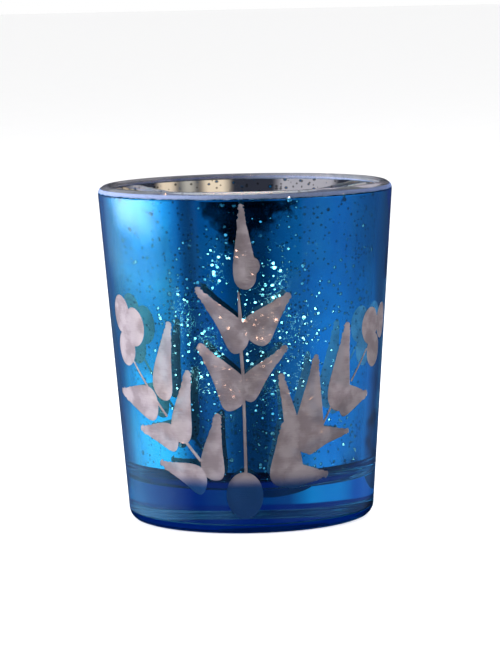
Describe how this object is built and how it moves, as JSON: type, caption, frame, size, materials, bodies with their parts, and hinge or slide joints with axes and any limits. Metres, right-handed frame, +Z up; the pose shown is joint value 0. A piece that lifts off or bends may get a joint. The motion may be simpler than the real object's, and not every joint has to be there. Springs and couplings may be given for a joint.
{
  "type": "votive candle holder",
  "caption": "Round tapered glass votive holder, silvered inside and lacquered blue outside, wheel-cut with leaf sprays, with a lift-out tealight.",
  "frame": {"origin": "centre of the cup's flat underside, on its axis", "axes": "+Z up along the cup's axis, -Y through the centre leaf spray"},
  "size_m": [0.0698, 0.0698, 0.08],
  "materials": {
    "clear_glass": "clear pressed glass, polished lip, frosted where wheel-cut",
    "blue_lacquer": "see-through blue lacquer film, glossy",
    "silvering": "antiqued mirror film with speckled holes",
    "tealight_tin": "thin drawn aluminium, bright",
    "wax": "paraffin wax, satin, slightly see-through",
    "wick_cotton": "braided waxed cotton",
    "tab_metal": "tinned sheet steel"
  },
  "bodies": {
    "holder": {"glass_cup": "clear_glass", "blue_lacquer": "blue_lacquer", "inner_silvering": "silvering"},
    "tealight": {"tealight_cup": "tealight_tin", "tealight_wax": "wax", "tealight_wick": "wick_cotton", "wick_tab": "tab_metal"}
  },
  "joints": [
    {"name": "tealight_lift", "type": "slide", "parent": "holder", "child": "tealight", "axis": [0, 0, 1], "range_m": [0, 0.09]}
  ]
}
